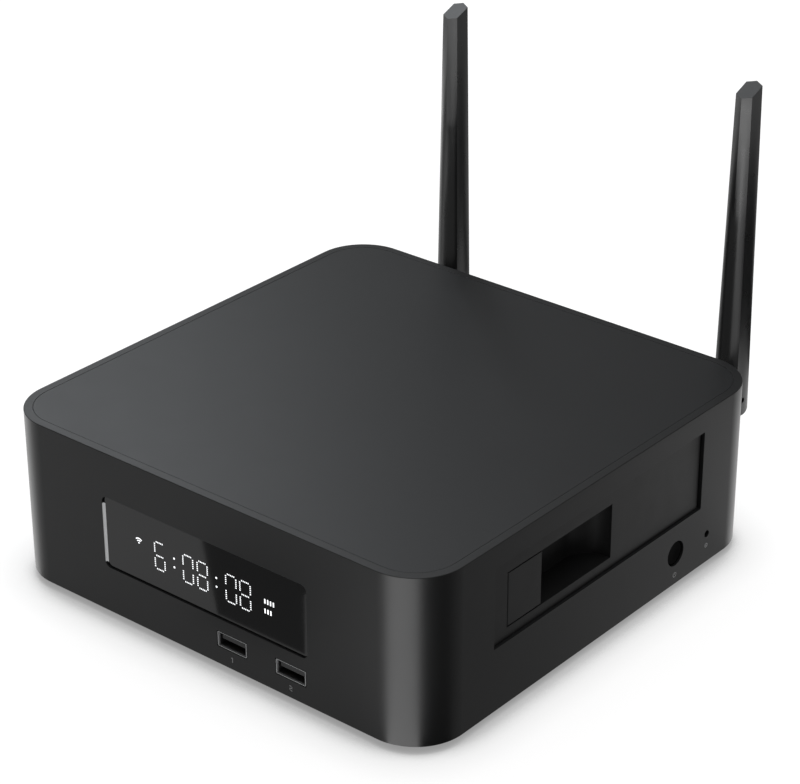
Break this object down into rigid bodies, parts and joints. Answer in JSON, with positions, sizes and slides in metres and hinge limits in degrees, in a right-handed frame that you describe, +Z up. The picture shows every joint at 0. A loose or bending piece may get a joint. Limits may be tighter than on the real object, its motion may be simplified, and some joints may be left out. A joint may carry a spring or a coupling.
{
  "type": "media player with hard drive tray",
  "caption": "Square media player with a display window, front USB ports, a pull-out hard drive tray in its side and folding antennas.",
  "frame": {"origin": "middle of the whole object's outline seen from above, on the surface that its feet stand on", "axes": "+Z up, -Y towards the front with the display, +X towards the side with the drive tray, +Y towards the ports and antennas"},
  "size_m": [0.205, 0.2384, 0.1732],
  "materials": {
    "housing_metal": "satin black with fine grain",
    "lid_metal": "satin dark grey with fine grain",
    "black_steel": "powder coated, fine texture",
    "plated_steel": "zinc plated sheet",
    "bright_steel": "nickel plated",
    "bare_aluminium": "extruded, fine lines",
    "gold_brass": "gold plated",
    "foot_rubber": "matt",
    "moulded_black": "fine moulded texture",
    "antenna_black": "satin moulded",
    "gloss_black": "polished",
    "tinted_window": "dark tinted, polished",
    "display_glass": "clear over a dark grid",
    "circuit_board": "green solder mask",
    "black_insulator": "moulded",
    "grey_insulator": "moulded",
    "rail_plastic": "natural nylon",
    "ribbon_plastic": "flat flexible cable"
  },
  "bodies": {
    "player": {"housing_shell": "housing_metal", "top_panel": "lid_metal", "bottom_plate": "black_steel", "foot_front_left": "foot_rubber", "foot_front_right": "foot_rubber", "foot_rear_left": "foot_rubber", "foot_rear_right": "foot_rubber", "display_window": "tinted_window", "display_tube": "display_glass", "display_board": "circuit_board", "display_ribbon": "ribbon_plastic", "main_board": "circuit_board", "processor": "black_insulator", "heat_sink": "bare_aluminium", "usb_shell_left": "bright_steel", "usb_shell_right": "bright_steel", "usb_shell_rear": "bright_steel", "usb_tongue_left": "grey_insulator", "usb_tongue_right": "grey_insulator", "usb_tongue_rear": "grey_insulator", "rear_panel": "black_steel", "lan_jack": "bright_steel", "hdmi_port_out": "bright_steel", "hdmi_port_in": "bright_steel", "optical_port": "black_insulator", "audio_jack": "black_insulator", "power_inlet": "black_insulator", "fan_frame": "moulded_black", "drive_cage": "plated_steel", "guide_rail_front": "rail_plastic", "guide_rail_rear": "rail_plastic", "sata_board": "circuit_board", "sata_connector": "black_insulator", "sata_ribbon": "ribbon_plastic", "power_switch": "black_insulator", "reset_switch": "black_insulator", "antenna_jack_left": "gold_brass", "antenna_jack_right": "gold_brass", "antenna_nut_left": "gold_brass", "antenna_nut_right": "gold_brass"},
    "fan": {"fan_rotor": "moulded_black"},
    "drive_tray": {"tray_bezel": "moulded_black", "tray_cradle": "moulded_black", "drive_pad_front": "foot_rubber", "drive_pad_rear": "foot_rubber", "lever_pin": "bright_steel"},
    "pull_lever": {"latch_lever": "moulded_black"},
    "power_key": {"power_button": "gloss_black"},
    "reset_key": {"reset_plunger": "moulded_black"},
    "left_antenna_foot": {"antenna_base_left": "moulded_black", "antenna_pin_left": "bright_steel"},
    "left_antenna": {"antenna_blade_left": "antenna_black"},
    "right_antenna_foot": {"antenna_base_right": "moulded_black", "antenna_pin_right": "bright_steel"},
    "right_antenna": {"antenna_blade_right": "antenna_black"}
  },
  "joints": [
    {"name": "tray_slide", "type": "slide", "parent": "player", "child": "drive_tray", "axis": [1, 0, 0], "range_m": [0, 0.14]},
    {"name": "lever_hinge", "type": "hinge", "parent": "drive_tray", "child": "pull_lever", "pos_m": [0.0994, -0.07006, 0.0448], "axis": [0, 0, -1], "range_deg": [0, 55]},
    {"name": "fan_spin", "type": "hinge", "parent": "player", "child": "fan", "pos_m": [0, 0.0758, 0.0446], "axis": [0, 1, 0], "continuous": true},
    {"name": "power_press", "type": "slide", "parent": "player", "child": "power_key", "axis": [-1, 0, 0], "range_m": [0, 0.0012], "stiffness_N_per_m": 800, "springref_m": -0.0002},
    {"name": "reset_press", "type": "slide", "parent": "player", "child": "reset_key", "axis": [-1, 0, 0], "range_m": [0, 0.0005], "stiffness_N_per_m": 800, "springref_m": -0.0002},
    {"name": "left_antenna_swivel", "type": "hinge", "parent": "player", "child": "left_antenna_foot", "pos_m": [-0.0713, 0.0963, 0.0405], "axis": [0, -1, 0], "range_deg": [-25, 90]},
    {"name": "left_antenna_tilt", "type": "hinge", "parent": "left_antenna_foot", "child": "left_antenna", "pos_m": [-0.0713, 0.11282, 0.0405], "axis": [-1, 0, 0], "range_deg": [0, 90]},
    {"name": "right_antenna_swivel", "type": "hinge", "parent": "player", "child": "right_antenna_foot", "pos_m": [0.0713, 0.0963, 0.0405], "axis": [0, 1, 0], "range_deg": [-25, 90]},
    {"name": "right_antenna_tilt", "type": "hinge", "parent": "right_antenna_foot", "child": "right_antenna", "pos_m": [0.0713, 0.11282, 0.0405], "axis": [-1, 0, 0], "range_deg": [0, 90]}
  ]
}
